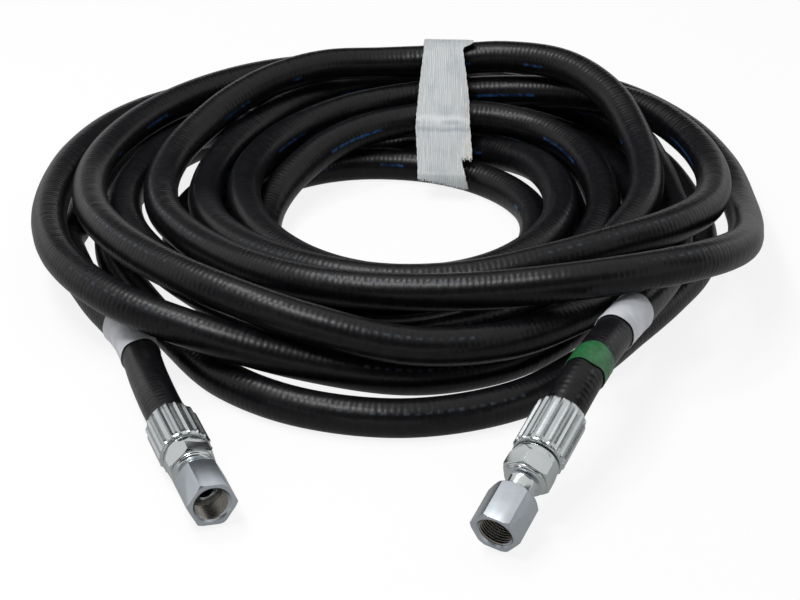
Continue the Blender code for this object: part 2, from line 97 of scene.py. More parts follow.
# At the right, the back, the left and the front: radius, height, bow outwards and upwards, mm.
TURNS = [
    ((174, 28, 4, 0), (187, 31, -6, 4), (129, 29, -4, 0), (151, 44, -2, 12)),
    ((200, 35, 4, 0), (150, 33, -2, 0), (105, 30, -2, 0), (128, 31, 0, 0)),
    ((112, 31, 8, 0), (121, 9, 0, 0), (138, 9, 0, 0), (147, 9, 0, 0)),
    ((136, 31, 9, 0), (111, 28, -3, 0), (92, 12, 0, 0), (100, 9, 0, 0)),
    ((96, 9, -1, 0), (98, 9, 0, 0), (115, 9, 0, 0), (123, 9, 0, 0)),
    ((119, 9, 6, 0), (145, 9, 14, 8), (176, 29, -13, 0), (171, 18, -6, -2)),
    ((175, 46, 15, 14), (160, 47, -8, 1), (152, 32, -9, 0), (176, 43, 31, 16)),
    ((219, 18, 10, 4), (211, 30, -4, 4), (203, 42, -6, 6), (222, 32, -10, 12)),
    ((166, 9, 12, 0), (201, 9, 8, 5), (228, 31, 12, 10), (213, 9, -10, 0)),
    ((142, 9, 10, 0), (177, 9, 4, 0), (186, 9, -6, 0), (222, 9, -27, 0)),
    ((182, 9, 8, 0), (224, 9, 4, 0), (212, 9, 0, 0)),
]
RIGHT_END = [(107, -238, 48), (125, -194, 43), (147, -145, 36.5), (165, -95, 32.5)]
LEFT_END = [(-202, -62, 9), (-181, -108, 9), (-157, -152, 10), (-142, -202, 12.8)]
END_STEP = 0.030              # between the points of a free stretch
STRAIGHT = 0.0240             # straight hose at each end of a stretch
print(len(TURNS), "rows of turns")

# %% Where the fittings lie
FERRULE_LENGTH = 0.0335
NUT_LENGTH = 0.0270
NUT_BACK = {"left": 0.0560, "right": 0.0600}
STEM_ROLL = {"left": -18, "right": -31}
NUT_ROLL = {"left": -5, "right": -10}
JOINTS = {j["name"]: j for j in frame["record"]["behaviour"]["joints"]}


def fitting_place(side, roll=0.0):
    """World placement of a fitting: the back of its ferrule at 0, its axis along +Z."""
    joint = JOINTS[side + "_nut_swivel"]
    d = Vector(joint["axis"]).normalized()
    x = Vector((0, 0, 1)).cross(d).normalized()
    y = d.cross(x)
    turn = Matrix(((x.x, y.x, d.x), (x.y, y.y, d.y), (x.z, y.z, d.z))).to_4x4()
    back = Vector(joint["pos_m"]) - d * NUT_BACK[side]
    return Matrix.Translation(back) @ turn @ Matrix.Rotation(radians(roll), 4, "Z")


for side in ("left", "right"):
    print(side, "ferrule at", tuple(round(v, 4) for v in fitting_place(side).translation))

# %% Curves through points, and the turns settling


def catmull(a, b, c, d, t):
    """A smooth step from b to c, with a before them and d after."""
    return 0.5 * (2 * b + (c - a) * t + (2 * a - 5 * b + 4 * c - d) * t * t
                  + (3 * b - a - 3 * c + d) * t ** 3)


def smooth_route(points, spacing):
    """Points about a spacing apart on a smooth curve through the given ones."""
    last = len(points) - 1
    route = []
    for i in range(last):
        near = [points[min(max(k, 0), last)] for k in (i - 1, i, i + 1, i + 2)]
        steps = max(1, round(float(np.linalg.norm(near[2] - near[1])) / spacing))
        route += [catmull(*near, j / steps) for j in range(steps)]
    return np.array(route + [points[last]])


def coil_route():
    """Points of the coil as it is laid, before its turns settle against each other."""
    stations = [np.array(station) / 1000 for turn in TURNS for station in turn]
    last = len(stations) - 1
    points = []
    for i in range(last):
        near = [stations[min(max(k, 0), last)][:2] for k in (i - 1, i, i + 1, i + 2)]
        for j in range(QUARTER):
            t = j / QUARTER
            radius, height = catmull(*near, t) + stations[i][2:] * sin(pi * t) ** 2
            angle = (i + t) * pi / 2
            points.append((radius * cos(angle), radius * sin(angle), max(height, FLOOR_Z)))
    radius, height = stations[last][:2]
    points.append((radius * cos(last * pi / 2), radius * sin(last * pi / 2), height))
    return np.array(points)


def closest(x, i, j):
    """Where segments i and j of a path come nearest: their shares, and the way across."""
    d1 = x[i + 1] - x[i]
    d2 = x[j + 1] - x[j]
    r = x[i] - x[j]
    a = (d1 * d1).sum(1)
    b = (d1 * d2).sum(1)
    e = (d2 * d2).sum(1)
    c = (d1 * r).sum(1)
    f = (d2 * r).sum(1)
    det = a * e - b * b
    s = np.where(det > 1e-3 * a * e, (b * f - c * e) / np.maximum(det, 1e-12), 0.5)
    s = np.clip(s, 0, 1)
    t = np.clip((b * s + f) / e, 0, 1)
    s = np.clip((b * t - c) / a, 0, 1)
    across = x[j] + d2 * t[:, None] - x[i] - d1 * s[:, None]
    return s, t, across


def settle(path, loose):
    """Push turns that meet apart, let lifted ones sink back, and keep the bends fair."""
    want = HOSE_OD + TURN_GAP
    home = path.copy()
    x = path.copy()
    i, j = np.triu_indices(len(x) - 1, 3)
    for step in range(SETTLE_ROUNDS):
        s, t, across = closest(x, i, j)
        far = np.sqrt((across * across).sum(1))
        hit = far < want
        move = np.zeros_like(x)
        count = np.zeros(len(x))
        push = across[hit] / far[hit][:, None] * ((want - far[hit]) / 2)[:, None]
        for seg, share, way in ((i[hit], s[hit], -1), (j[hit], t[hit], 1)):
            norm = (1 - share) ** 2 + share ** 2
            for end, weight in ((0, (1 - share) / norm), (1, share / norm)):
                np.add.at(move, seg + end, way * push * weight[:, None])
                np.add.at(count, seg + end, weight)
        x += EAGER * move / np.maximum(count, 1)[:, None]
        if step < SETTLE_ROUNDS * 0.7:
            x[:, 2] -= np.clip(x[:, 2] - home[:, 2], 0, SINK)
        x[:, 2] = np.maximum(x[:, 2], FLOOR_Z)
        shift = x - home
        fair = shift.copy()
        fair[1:-1] = (shift[:-2] + 2 * shift[1:-1] + shift[2:]) / 4
        shift += (0.22 if step < SETTLE_ROUNDS * 0.75 else 0.1) * (fair - shift)
        x = home + shift * (HOMING if step < SETTLE_ROUNDS * 0.6 else 1.0)
        x[:, 2] = np.maximum(x[:, 2], FLOOR_Z)
        x[~loose] = home[~loose]
    return x


def hose_route():
    """The whole hose from the right-hand ferrule round the coil to the left-hand one."""
    centre = np.array((COIL_X, COIL_Y, 0))
    ends = {}
    for side in ("left", "right"):
        place = np.array(fitting_place(side))
        ends[side] = (place[:3, 3] - centre, -place[:3, 2])
    coil = coil_route()
    mouth, out = ends["right"]
    lead = (coil[0] - coil[1]) / np.linalg.norm(coil[0] - coil[1])
    via = [mouth + out * STRAIGHT] + [np.array(p) / 1000 for p in RIGHT_END]
    via.append(coil[0] + lead * STRAIGHT)
    right = np.vstack([[mouth], smooth_route(via, END_STEP), [coil[0]]])
    mouth, out = ends["left"]
    lead = (coil[-1] - coil[-2]) / np.linalg.norm(coil[-1] - coil[-2])
    via = [coil[-1] + lead * STRAIGHT] + [np.array(p) / 1000 for p in LEFT_END]
    via.append(mouth + out * STRAIGHT)
    left = np.vstack([[coil[-1]], smooth_route(via, END_STEP), [mouth]])
    path = np.vstack([right[:-1], coil, left[1:]])
    first = len(right) - 1
    loose = np.zeros(len(path), bool)
    loose[first + 2:first + len(coil) - 2] = True
    return settle(path, loose) + centre


ROUTE = hose_route()
print("route of", len(ROUTE), "points")

# %% [markdown]
# ## Following the route
#
# A tube needs a direction and two directions across it at every step. If those two are carried
# along with the least turning, a line drawn on the hose stays on the same side of it, as the
# printed lay line does on a real hose.

# %% A finer line and the directions across it
HOSE_STEP = 0.006


def resampled(points, spacing):
    """The same smooth line with its points evenly apart."""
    dense = smooth_route(points, spacing / 3)
    arc = np.concatenate([[0], np.cumsum(np.linalg.norm(np.diff(dense, axis=0), axis=1))])
    stops = np.linspace(0, arc[-1], round(arc[-1] / spacing) + 1)
    return np.stack([np.interp(stops, arc, dense[:, k]) for k in range(3)], axis=1), stops


def directions(line):
    """Along, and two ways across, carried along a line with the least turning."""
    along = np.gradient(line, axis=0)
    along /= np.linalg.norm(along, axis=1)[:, None]
    up = np.array((0.0, 0.0, 1.0))
    first = up - along[0] * (up @ along[0])
    first /= np.linalg.norm(first)
    across = [first]
    for t in along[1:]:
        n = across[-1] - t * (across[-1] @ t)
        across.append(n / np.linalg.norm(n))
    across = np.array(across)
    return along, across, np.cross(along, across)


LINE, ARC = resampled(ROUTE, HOSE_STEP)
LINE[:, 2] = np.maximum(LINE[:, 2], FLOOR_Z)
ALONG, ACROSS, BESIDE = directions(LINE)
print("hose of", round(float(ARC[-1]), 3), "m in", len(LINE), "steps")


def on_hose(arc, angle, radius):
    """A point round the hose: how far along it, at what angle from its own top, how far out."""
    at = [np.interp(arc, ARC, LINE[:, k]) for k in range(3)]
    n = np.array([np.interp(arc, ARC, ACROSS[:, k]) for k in range(3)])
    b = np.array([np.interp(arc, ARC, BESIDE[:, k]) for k in range(3)])
    return Vector(np.array(at) + (n * cos(angle) + b * sin(angle)) * radius)


# %% [markdown]
# ## Tools for modelling by operator
#
# Every operator acts on what is selected, so each helper first deselects everything. Points are
# then picked in code by where they are. A turned piece is drawn as half a section and spun, as a
# lathe would make it.

# %% Selecting, drawing and spinning


def only(piece):
    """Make one piece the active and only selected one."""
    bpy.ops.object.select_all(action="DESELECT")
    piece.select_set(True)
    bpy.context.view_layer.objects.active = piece


def open_edit(piece):
    only(piece)
    bpy.ops.object.mode_set(mode="EDIT")
    bpy.ops.mesh.select_mode(type="VERT")
    bpy.ops.mesh.select_all(action="DESELECT")


def close_edit():
    bpy.ops.object.mode_set(mode="OBJECT")


def pick(piece, wanted):
    """Select the points of a piece in edit mode that a test wants."""
    bm = bmesh.from_edit_mesh(piece.data)
    for v in bm.verts:
        v.select_set(bool(wanted(v.co)))
    bm.select_flush(True)
    bmesh.update_edit_mesh(piece.data)


def drawn(name, points):
    """A chain of edges through (radius, along) points, drawn by extruding one point."""
    bpy.ops.object.select_all(action="DESELECT")
    bpy.ops.mesh.primitive_plane_add(size=0.001)
    piece = bpy.context.object
    piece.name = name
    bpy.ops.object.mode_set(mode="EDIT")
    bpy.ops.mesh.select_mode(type="VERT")
    bpy.ops.mesh.select_all(action="SELECT")
    bpy.ops.mesh.merge(type="CENTER")
    r, s = points[0]
    bpy.ops.transform.translate(value=(r, 0, s))
    for (r0, s0), (r1, s1) in zip(points, points[1:]):
        step = {"value": (r1 - r0, 0, s1 - s0)}
        bpy.ops.mesh.extrude_region_move(TRANSFORM_OT_translate=step)
    return piece


def spun(name, points, steps):
    """A solid of revolution about Z from a section that closes on itself or on the axis."""
    piece = drawn(name, points)
    bpy.ops.mesh.select_all(action="SELECT")
    bpy.ops.mesh.spin(steps=steps, angle=2 * pi, center=(0, 0, 0), axis=(0, 0, 1))
    bpy.ops.mesh.select_all(action="SELECT")
    bpy.ops.mesh.remove_doubles(threshold=1e-6)
    bpy.ops.mesh.normals_make_consistent(inside=False)
    close_edit()
    return piece


def facing_out(piece):
    only(piece)
    bpy.ops.object.mode_set(mode="EDIT")
    bpy.ops.mesh.select_all(action="SELECT")
    bpy.ops.mesh.normals_make_consistent(inside=False)
    close_edit()


def sheet(name, verts, faces, corners=None, uv_name=None):
    """A mesh from points and faces, with a UV map where its corners are given."""
    mesh = bpy.data.meshes.new(name)
    mesh.from_pydata(verts, [], faces)
    if uv_name:
        mesh.uv_layers.new(name=uv_name).data.foreach_set("uv", corners)
    piece = bpy.data.objects.new(name, mesh)
    bpy.context.scene.collection.objects.link(piece)
    only(piece)
    return piece


def apply_all(piece):
    only(piece)
    for modifier in list(piece.modifiers):
        bpy.ops.object.modifier_apply(modifier=modifier.name)


def thicken(piece, wall, side):
    thick = piece.modifiers.new("thickness", "SOLIDIFY")
    thick.thickness = wall
    thick.offset = side
    apply_all(piece)


def carve(piece, tool, how="DIFFERENCE"):
    """Cut one solid with another, and put the tool away."""
    cut = piece.modifiers.new("carve", "BOOLEAN")
    cut.operation = how
    cut.solver = "EXACT"
    cut.object = tool
    apply_all(piece)
    bpy.data.objects.remove(tool, do_unlink=True)


def soften(piece, width):
    """Round the sharp edges a little, as tumbling and plating do."""
    bevel = piece.modifiers.new("soft edge", "BEVEL")
    bevel.width = width
    bevel.segments = 2
    bevel.limit_method = "ANGLE"
    bevel.angle_limit = radians(25)
    bevel.harden_normals = False
    apply_all(piece)


def settle_in(piece, place):
    """Put a piece where it belongs, keep that in its mesh, and shade it smooth."""
    piece.matrix_world = place
    only(piece)
    bpy.ops.object.transform_apply(location=True, rotation=True, scale=True)
    bpy.ops.object.shade_smooth_by_angle(angle=radians(30))
    print(piece.name, "has", len(piece.data.polygons), "faces")


print("helpers ready")

# %% [markdown]
# ## Making finishes
#
# A finish starts from one Principled shader with the plain values of the material, and nodes are
# then added only for what changes over the surface: small lines, stains and the unevenness that
# breaks up a reflection. The helpers here keep that short.

# %% Helpers for finishes


def finish(name, colour, roughness, metallic=0.0):
    """A material with its plain colour, roughness and metalness set on the shader."""
    material = bpy.data.materials.new(name)
    material.use_nodes = True
    shader = material.node_tree.nodes["Principled BSDF"]
    shader.inputs["Base Color"].default_value = (*colour, 1)
    shader.inputs["Roughness"].default_value = roughness
    shader.inputs["Metallic"].default_value = metallic
    material.diffuse_color = (*colour, 1)
    return material


def add(material, kind, inputs=None, out=0, **settings):
    """Add a node. Each input is a value or the output of another node."""
    made = material.node_tree.nodes.new(kind)
    for key, value in settings.items():
        setattr(made, key, value)
    for key, value in (inputs or {}).items():
        if isinstance(value, bpy.types.NodeSocket):
            material.node_tree.links.new(value, made.inputs[key])
        else:
            made.inputs[key].default_value = value
    return made.outputs[out]


def maths(material, operation, a, b=0.0):
    return add(material, "ShaderNodeMath", {0: a, 1: b}, operation=operation)


def feed(material, socket, output):
    """Drive one input of the shader."""
    shader = material.node_tree.nodes["Principled BSDF"]
    material.node_tree.links.new(output, shader.inputs[socket])


def own_place(material):
    return add(material, "ShaderNodeTexCoord", out=3)


def noise(material, where, scale, detail=2.0, rough=0.5):
    return add(material, "ShaderNodeTexNoise",
               {"Vector": where, "Scale": scale, "Detail": detail, "Roughness": rough})


def between(material, value, low, high, to_low, to_high):
    """Spread a value's range from low to high over another range."""
    return add(material, "ShaderNodeMapRange", {0: value, 1: low, 2: high, 3: to_low, 4: to_high})


def tint(material, share, first, second):
    """Mix two colours by a share from 0 to 1."""
    made = material.node_tree.nodes.new("ShaderNodeMix")
    made.data_type = "RGBA"
    material.node_tree.links.new(share, made.inputs[0])
    for socket, colour in ((made.inputs[6], first), (made.inputs[7], second)):
        if isinstance(colour, bpy.types.NodeSocket):
            material.node_tree.links.new(colour, socket)
        else:
            socket.default_value = (*colour, 1)
    return made.outputs[2]


def raise_by(material, height, distance):
    """Small relief: a height from 0 to 1 that stands a distance in metres."""
    bump = add(material, "ShaderNodeBump", {"Height": height, "Distance": distance})
    feed(material, "Normal", bump)


def uv_axes(material, uv_map):
    """The two directions of a UV map, apart."""
    uv = add(material, "ShaderNodeUVMap", uv_map=uv_map)
    split = material.node_tree.nodes.new("ShaderNodeSeparateXYZ")
    material.node_tree.links.new(uv, split.inputs[0])
    return split.outputs[0], split.outputs[1]


def stretched(material, u, v, along_u, along_v):
    """A place for a noise that is finer along one axis of a UV map than along the other."""
    return add(material, "ShaderNodeCombineXYZ", {0: maths(material, "MULTIPLY", u, along_u),
                                                  1: maths(material, "MULTIPLY", v, along_v)})


print("finish helpers ready")

# %% [markdown]
# ## Rubber
#
# Hydraulic hose is cured under a tight wrap of wet cloth tape. Peeled off, the tape leaves fine
# ripples across the hose and a satin skin, so a highlight is broken into short beads instead of
# one clean streak. The ripples follow the hose, so they are drawn with its own UV: u is metres
# along it, v goes once round it. Of the maker's printing only a row of faint dashes and a blue
# lay line are kept.

# %% Rubber finish
WRAP_PITCH = 0.0034
GROUP = 0.19                  # metres from one group of marks to the next


def wave(material, along, pitch):
    return maths(material, "SINE", maths(material, "MULTIPLY", along, 2 * pi / pitch))


def rubber_finish():
    material = finish("hose rubber", (0.006, 0.006, 0.007), 0.34)
    shader = material.node_tree.nodes["Principled BSDF"]
    shader.inputs["Specular IOR Level"].default_value = 0.24
    u, v = uv_axes(material, "along_and_round")
    place = own_place(material)
    uneven = noise(material, place, 130, 3)
    lines = maths(material, "ADD", maths(material, "MULTIPLY", u, 2 * pi / WRAP_PITCH),
                  maths(material, "MULTIPLY", uneven, 4.0))
    cloth = maths(material, "SINE", lines)
    ripple = noise(material, stretched(material, u, v, 200.0, 7.0), 1.0, 1)
    height = maths(material, "ADD", maths(material, "MULTIPLY", cloth, 0.10),
                   maths(material, "MULTIPLY", ripple, 0.9))
    raise_by(material, height, 0.00034)
    grain = noise(material, place, 900, 2)
    feed(material, "Roughness", between(material, grain, 0.3, 0.7, 0.28, 0.37))
    worn = between(material, ripple, 0.35, 0.75, 0.0, 1.0)
    base = tint(material, worn, (0.0024, 0.0024, 0.0032), (0.0050, 0.0050, 0.0062))
    for centre, half, colour, dash, gap in LAY_LINES:
        near = add(material, "ShaderNodeMath", {0: v, 1: centre, 2: half}, operation="COMPARE")
        dashes = maths(material, "GREATER_THAN", wave(material, u, dash), -0.1)
        groups = maths(material, "GREATER_THAN", wave(material, u, GROUP), gap)
        patchy = between(material, noise(material, place, 300, 2), 0.40, 0.60, 0.10, 0.75)
        mark = maths(material, "MULTIPLY", maths(material, "MULTIPLY", near, dashes), groups)
        base = tint(material, maths(material, "MULTIPLY", mark, patchy), base, colour)
    feed(material, "Base Color", base)
    return material


# Centre and half width as shares of the way round, colour, length of a dash with its space in
# metres, and how much of the row is missing.
LAY_LINES = [
    (0.39, 0.013, (0.036, 0.045, 0.060), 0.0058, -0.2),
    (0.72, 0.014, (0.020, 0.070, 0.190), 0.0900, 0.3),
]
rubber = rubber_finish()
print("rubber has", len(rubber.node_tree.nodes), "nodes")

# %% [markdown]
# ## The hose
#
# The hose is one tube from ferrule to ferrule. It could be a curve with a bevel, but a mesh
# gives it UV that runs true along it, and lets the lowest turns go flat where they lie on the
# floor. So rings of points are set round the line and joined by quads.

# %% The hose as one tube
SIDES = 28


def tube_mesh(name, line, across, beside, arc):
    """A tube round a line, with UV along and round it."""
    count = len(line)
    turn = np.arange(SIDES) * 2 * pi / SIDES
    ring = across[:, None] * -np.cos(turn)[:, None] + beside[:, None] * np.sin(turn)[:, None]
    verts = (line[:, None] + ring * HOSE_R).reshape(-1, 3)
    verts[:, 2] = np.maximum(verts[:, 2], 0)
    k = np.arange(count - 1)[:, None] * SIDES
    a = np.arange(SIDES)[None]
    b = (a + 1) % SIDES
    quads = np.stack([k + a, k + b, k + SIDES + b, k + SIDES + a], axis=2).reshape(-1, 4)
    caps = [list(range(SIDES))[::-1], list(range((count - 1) * SIDES, count * SIDES))]
    around = np.arange(SIDES + 1) / SIDES
    first = np.repeat(arc[:-1], SIDES)
    second = np.repeat(arc[1:], SIDES)
    low = np.tile(around[:-1], count - 1)
    high = np.tile(around[1:], count - 1)
    values = np.stack([first, low, first, high, second, high, second, low], axis=1).reshape(-1)
    ends = [value for stop in (arc[0], arc[-1]) for share in around[:-1] for value in (stop, share)]
    piece = sheet(name, verts.tolist(), quads.tolist() + caps, np.concatenate([values, ends]),
                  "along_and_round")
    facing_out(piece)
    bpy.ops.object.shade_smooth_by_angle(angle=radians(50))
    return piece


HOSE_IN = 0.0015              # how far the hose enters its ferrules
hose_line = LINE.copy()
hose_line[0] -= ALONG[0] * HOSE_IN
hose_line[-1] += ALONG[-1] * HOSE_IN
hose = tube_mesh("hose", hose_line, ACROSS, BESIDE, ARC)
hose.data.materials.append(rubber)
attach(hose, "hose")
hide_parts("hose_coil", "hose_end_left", "hose_end_right")
print("hose has", len(hose.data.polygons), "faces")

# %% [markdown]
# ## Zinc plate
#
# Bright zinc over turned steel is a little blue, a little milky, and never mirror flat: its tone
# clouds slowly, its shine is specked, and it is a little wavy. The squeezed ferrule, the turned
# stem and the nut get one recipe in three tones, and the thread a darker, browner one.

# %% Zinc finishes


def clouded(material, share, first, second):
    """Two colours, in the uneven patches of a noise."""
    feed(material, "Base Color", tint(material, between(material, share, 0.35, 0.7, 0.0, 1.0),
                                      first, second))


def zinc(name, colour, roughness):
    material = finish(name, colour, roughness, 1.0)
    place = own_place(material)
    cloud = noise(material, place, 90, 4, 0.6)
    speck = noise(material, place, 1400, 2)
    clouded(material, cloud, tuple(0.90 * c for c in colour), colour)
    mixed = maths(material, "ADD", maths(material, "MULTIPLY", cloud, 0.10),
                  maths(material, "MULTIPLY", speck, 0.04))
    feed(material, "Roughness", maths(material, "ADD", mixed, roughness - 0.07))
    raise_by(material, maths(material, "MULTIPLY", noise(material, place, 320, 2), 0.5), 0.00002)
    return material


ferrule_zinc = zinc("zinc ferrule", (0.58, 0.61, 0.62), 0.28)
stem_zinc = zinc("zinc stem", (0.60, 0.63, 0.63), 0.19)
nut_zinc = zinc("zinc nut", (0.52, 0.56, 0.60), 0.32)
thread_zinc = zinc("zinc thread", (0.36, 0.34, 0.31), 0.26)
print("four zinc finishes")

# %% [markdown]
# ## The ferrules
#
# A ferrule is a plain cup until the crimping jaws close on it. They press wide grooves and
# leave narrow ridges standing between them. So the cup is spun first, with rows where the
# grooves start and stop, and then each groove's columns are picked and drawn in towards the axis.

# %% A crimped ferrule
FLUTES = 18
FLUTE_DEPTH = 0.0011
COLUMNS = 8                   # round each flute
FERRULE_R = 0.0146
FERRULE_MOUTH = HOSE_R + GAP
LOCK_R = 0.0083               # of the wall that locks on the stem


def crimped_ferrule():
    r = FERRULE_R
    end = FERRULE_LENGTH
    back = [(FERRULE_MOUTH, 0.0002), (r - 0.0024, 0.0), (r - 0.0016, 0.0003),
            (r - 0.0009, 0.0009), (r - 0.0004, 0.0018), (r - 0.0001, 0.0030), (r, 0.0045),
            (r, 0.0060)]
    body = [(r, 0.0060 + k * 0.0034) for k in range(1, 7)]
    front = [(r, end - 0.0048), (r, end - 0.0034), (r + 0.0001, end - 0.0026),
             (r + 0.0001, end - 0.0018), (r - 0.0001, end - 0.0012), (r - 0.0006, end - 0.0006),
             (r - 0.0018, end)]
    inside = [(LOCK_R, end), (LOCK_R, end - 0.0020), (FERRULE_MOUTH, end - 0.0020),
              (FERRULE_MOUTH, 0.0002)]
    piece = spun("right_ferrule", back + body + front + inside, FLUTES * COLUMNS)
    # How deep the grooves are in each row near the ends, and in each column of a groove.
    reach = {0.0003: 0.2, 0.0009: 0.5, 0.0018: 0.8, 0.0030: 1.0, end - 0.0034: 1.0,
             end - 0.0026: 0.9, end - 0.0018: 0.7, end - 0.0012: 0.7, end - 0.0006: 0.5}
    shape = {0: 0.0, 1: 0.62, 2: 1.0, 3: 1.0, 4: 0.94}
    open_edit(piece)
    rows = sorted({round(s, 6) for p, s in back[1:] + body + front[:-1]})
    for row in rows:
        share = next((v for s, v in reach.items() if abs(s - row) < 1e-6), 1.0 if row > 0 else 0.0)
        for phase, depth in shape.items():
            drop = FLUTE_DEPTH * depth * share
            if drop == 0:
                continue

            def in_groove(co, row=row, phase=phase):
                if abs(co.z - row) > 1e-5 or co.xy.length < FERRULE_MOUTH + 0.0008:
                    return False
                column = round(np.arctan2(co.y, co.x) / (2 * pi) * FLUTES * COLUMNS) % COLUMNS
                return min(column, COLUMNS - column) == phase
            pick(piece, in_groove)
            keep = 1 - drop / FERRULE_R
            bpy.ops.transform.resize(value=(keep, keep, 1), center_override=(0, 0, 0))
            bpy.ops.mesh.select_all(action="DESELECT")
    close_edit()
    piece.data.materials.append(ferrule_zinc)
    return piece


def own_copy(piece):
    """A copy with a mesh of its own."""
    copy = piece.copy()
    copy.data = piece.data.copy()
    bpy.context.scene.collection.objects.link(copy)
    return copy


def fit_pair(piece, name, body, solid, roll=None, along=None):
    """Put a piece and its copy on the two fittings. Each rides on a body and replaces a solid."""
    pair = {"right": piece, "left": own_copy(piece)}
    for side, one in pair.items():
        one.name = side + name
        place = fitting_place(side, roll[side] if roll else 0.0)
        settle_in(one, place @ Matrix.Translation((0, 0, along[side] if along else 0.0)))
        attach(one, body.format(side))
        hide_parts(solid + side)
    return pair


ferrules = fit_pair(crimped_ferrule(), "_ferrule", "hose", "crimp_ferrule_")

# %% [markdown]
# ## The stems
#
# The stem is one turned piece: the domed back against the ferrule, the wrench hexagon, two
# rings, a neck, a head that holds the nut, and the 37 degree seat round the bore. On the real
# one the hexagon is bar stock and the dome is turned into it, which leaves the curved edges
# where dome and flats meet. So the piece is spun as if it were round, and a sleeve with a
# six-sided hole shaves the flats. The hole widens towards the dome, so that the flats run out.

# %% A stem
HEX_AF = 0.0240
HEX_R = HEX_AF / sqrt(3)
HEX_FRONT = 0.0485
STEM_TAIL = 0.0035
STEM_TIP = 0.0715
BARBS = 3


def prism(sides, bottom, top, low, high=None):
    """An upright prism, or a narrowing one with two radii; with six sides, a corner is on X."""
    bpy.ops.object.select_all(action="DESELECT")
    bpy.ops.mesh.primitive_cone_add(
        vertices=sides, radius1=low, radius2=low if high is None else high, depth=top - bottom,
        location=(0, 0, (top + bottom) / 2), rotation=(0, 0, pi / 2))
    bpy.ops.object.transform_apply(location=True, rotation=True, scale=True)
    return bpy.context.object


def turned_stem():
    face = FERRULE_LENGTH + GAP
    bore, seat, head, neck, collar = 0.00475, 0.0073, 0.0083, 0.0076, 0.0116
    lock, tail_end, barb, groove = 0.0080, face - 0.0022, 0.00605, 0.00565
    corner = HEX_R + 0.0002
    start = (0.00555, STEM_TAIL)
    tail = []
    pitch = (0.0319 - 0.004 - STEM_TAIL) / BARBS
    for k in range(BARBS):
        at = 0.0047 + pitch * k
        tail += [(barb, at + pitch * 0.72), (groove, at + pitch * 0.78)]
    dome = [(0.0112, face), (0.0120, face + 0.0003), (0.0127, face + 0.0010),
            (0.0131, face + 0.0019), (0.0132, face + 0.0030), (0.0133, face + 0.0042),
            (0.0136, face + 0.0054), (corner, face + 0.0068)]
    rings = [(collar, HEX_FRONT), (collar + 0.0001, HEX_FRONT + 0.0006),
             (collar - 0.0001, HEX_FRONT + 0.0010), (collar - 0.0006, HEX_FRONT + 0.0013),
             (collar - 0.0005, HEX_FRONT + 0.0017), (collar - 0.0009, 0.0507),
             (collar - 0.0016, 0.0511)]
    front = [(neck + 0.0012, 0.0514), (neck + 0.0003, 0.0519), (neck, 0.0526), (neck, 0.0656),
             (head, 0.0660), (head, STEM_TIP - 0.0010), (head - 0.0002, STEM_TIP - 0.0004),
             (head - 0.0006, STEM_TIP), (seat, STEM_TIP),
             (bore, STEM_TIP - (seat - bore) / tan(radians(37))), (bore, STEM_TAIL), start]
    order = [start] + tail + [(groove, tail_end), (lock, tail_end), (lock, face)] + dome
    order += [(corner, HEX_FRONT - 0.0010), (HEX_R - 0.0013, HEX_FRONT)] + rings + front
    piece = spun("stem", order, 96)
    sleeve = prism(64, face + 0.0016, HEX_FRONT + 0.00001, 0.02)
    carve(sleeve, prism(6, face - 0.001, HEX_FRONT + 0.001, HEX_R))
    carve(sleeve, prism(6, face + 0.0010, face + 0.0062, HEX_R + 0.0019, HEX_R))
    carve(piece, sleeve)
    soften(piece, 0.00018)
    piece.data.materials.append(stem_zinc)
    return piece


stems = fit_pair(turned_stem(), "_stem", "hose", "stem_", STEM_ROLL)

# %% [markdown]
# ## The swivel nuts
#
# A nut starts as hexagon bar. A lathe rounds its back shoulder and breaks its front corners,
# then bores it, and a tap cuts the thread. The same order works here: a six-sided prism meets a
# turned blank, keeps only what both share, loses the bore, and last a tap made with a Screw
# modifier cuts real turns of thread, which are given the darker zinc.

# %% A swivel nut
THREAD_PITCH = 0.0015875      # 16 threads to the inch
THREAD_R = 0.00953
THREAD_CREST_R = 0.0088
THREAD_START = 0.0092
THREAD_TURNS = 13


def turned_blank():
    length = NUT_LENGTH
    corner = HEX_R + 0.0001
    shoulder = [(0.0100, 0.0), (0.0106, 0.0003), (0.0113, 0.0009), (0.0122, 0.0017),
                (0.0131, 0.0027), (corner, 0.0037)]
    front = [(corner, length - 0.0009), (corner - 0.0012, length), (0.0, length), (0.0, 0.0),
             (0.0100, 0.0)]
    return spun("turned blank", shoulder + front, 96)


def thread_tap():
    """A ridge with a V section that climbs one pitch in each turn, closed at both ends."""
    slope = (THREAD_R - THREAD_CREST_R) * tan(radians(30))
    flat = THREAD_PITCH - 2 * slope
    low, high = THREAD_CREST_R - 0.00001, THREAD_R
    rises = [(low, 0.0), (low, flat * 0.55), (high, flat * 0.55 + slope), (high, flat + slope),
             (low, THREAD_PITCH)]
    tap = drawn("tap", rises)
    close_edit()
    screw = tap.modifiers.new("thread", "SCREW")
    screw.steps = screw.render_steps = 60
    screw.angle = 2 * pi
    screw.screw_offset = THREAD_PITCH
    screw.iterations = THREAD_TURNS
    screw.use_merge_vertices = True
    screw.merge_threshold = 1e-6
    apply_all(tap)
    bpy.ops.object.mode_set(mode="EDIT")
    bpy.ops.mesh.select_all(action="SELECT")
    bpy.ops.mesh.remove_doubles(threshold=1e-6)
    bpy.ops.mesh.select_all(action="SELECT")
    bpy.ops.mesh.fill_holes(sides=0)
    bpy.ops.mesh.select_all(action="SELECT")
    bpy.ops.mesh.normals_make_consistent(inside=False)
    bpy.ops.transform.translate(value=(0, 0, THREAD_START))
    close_edit()
    return tap


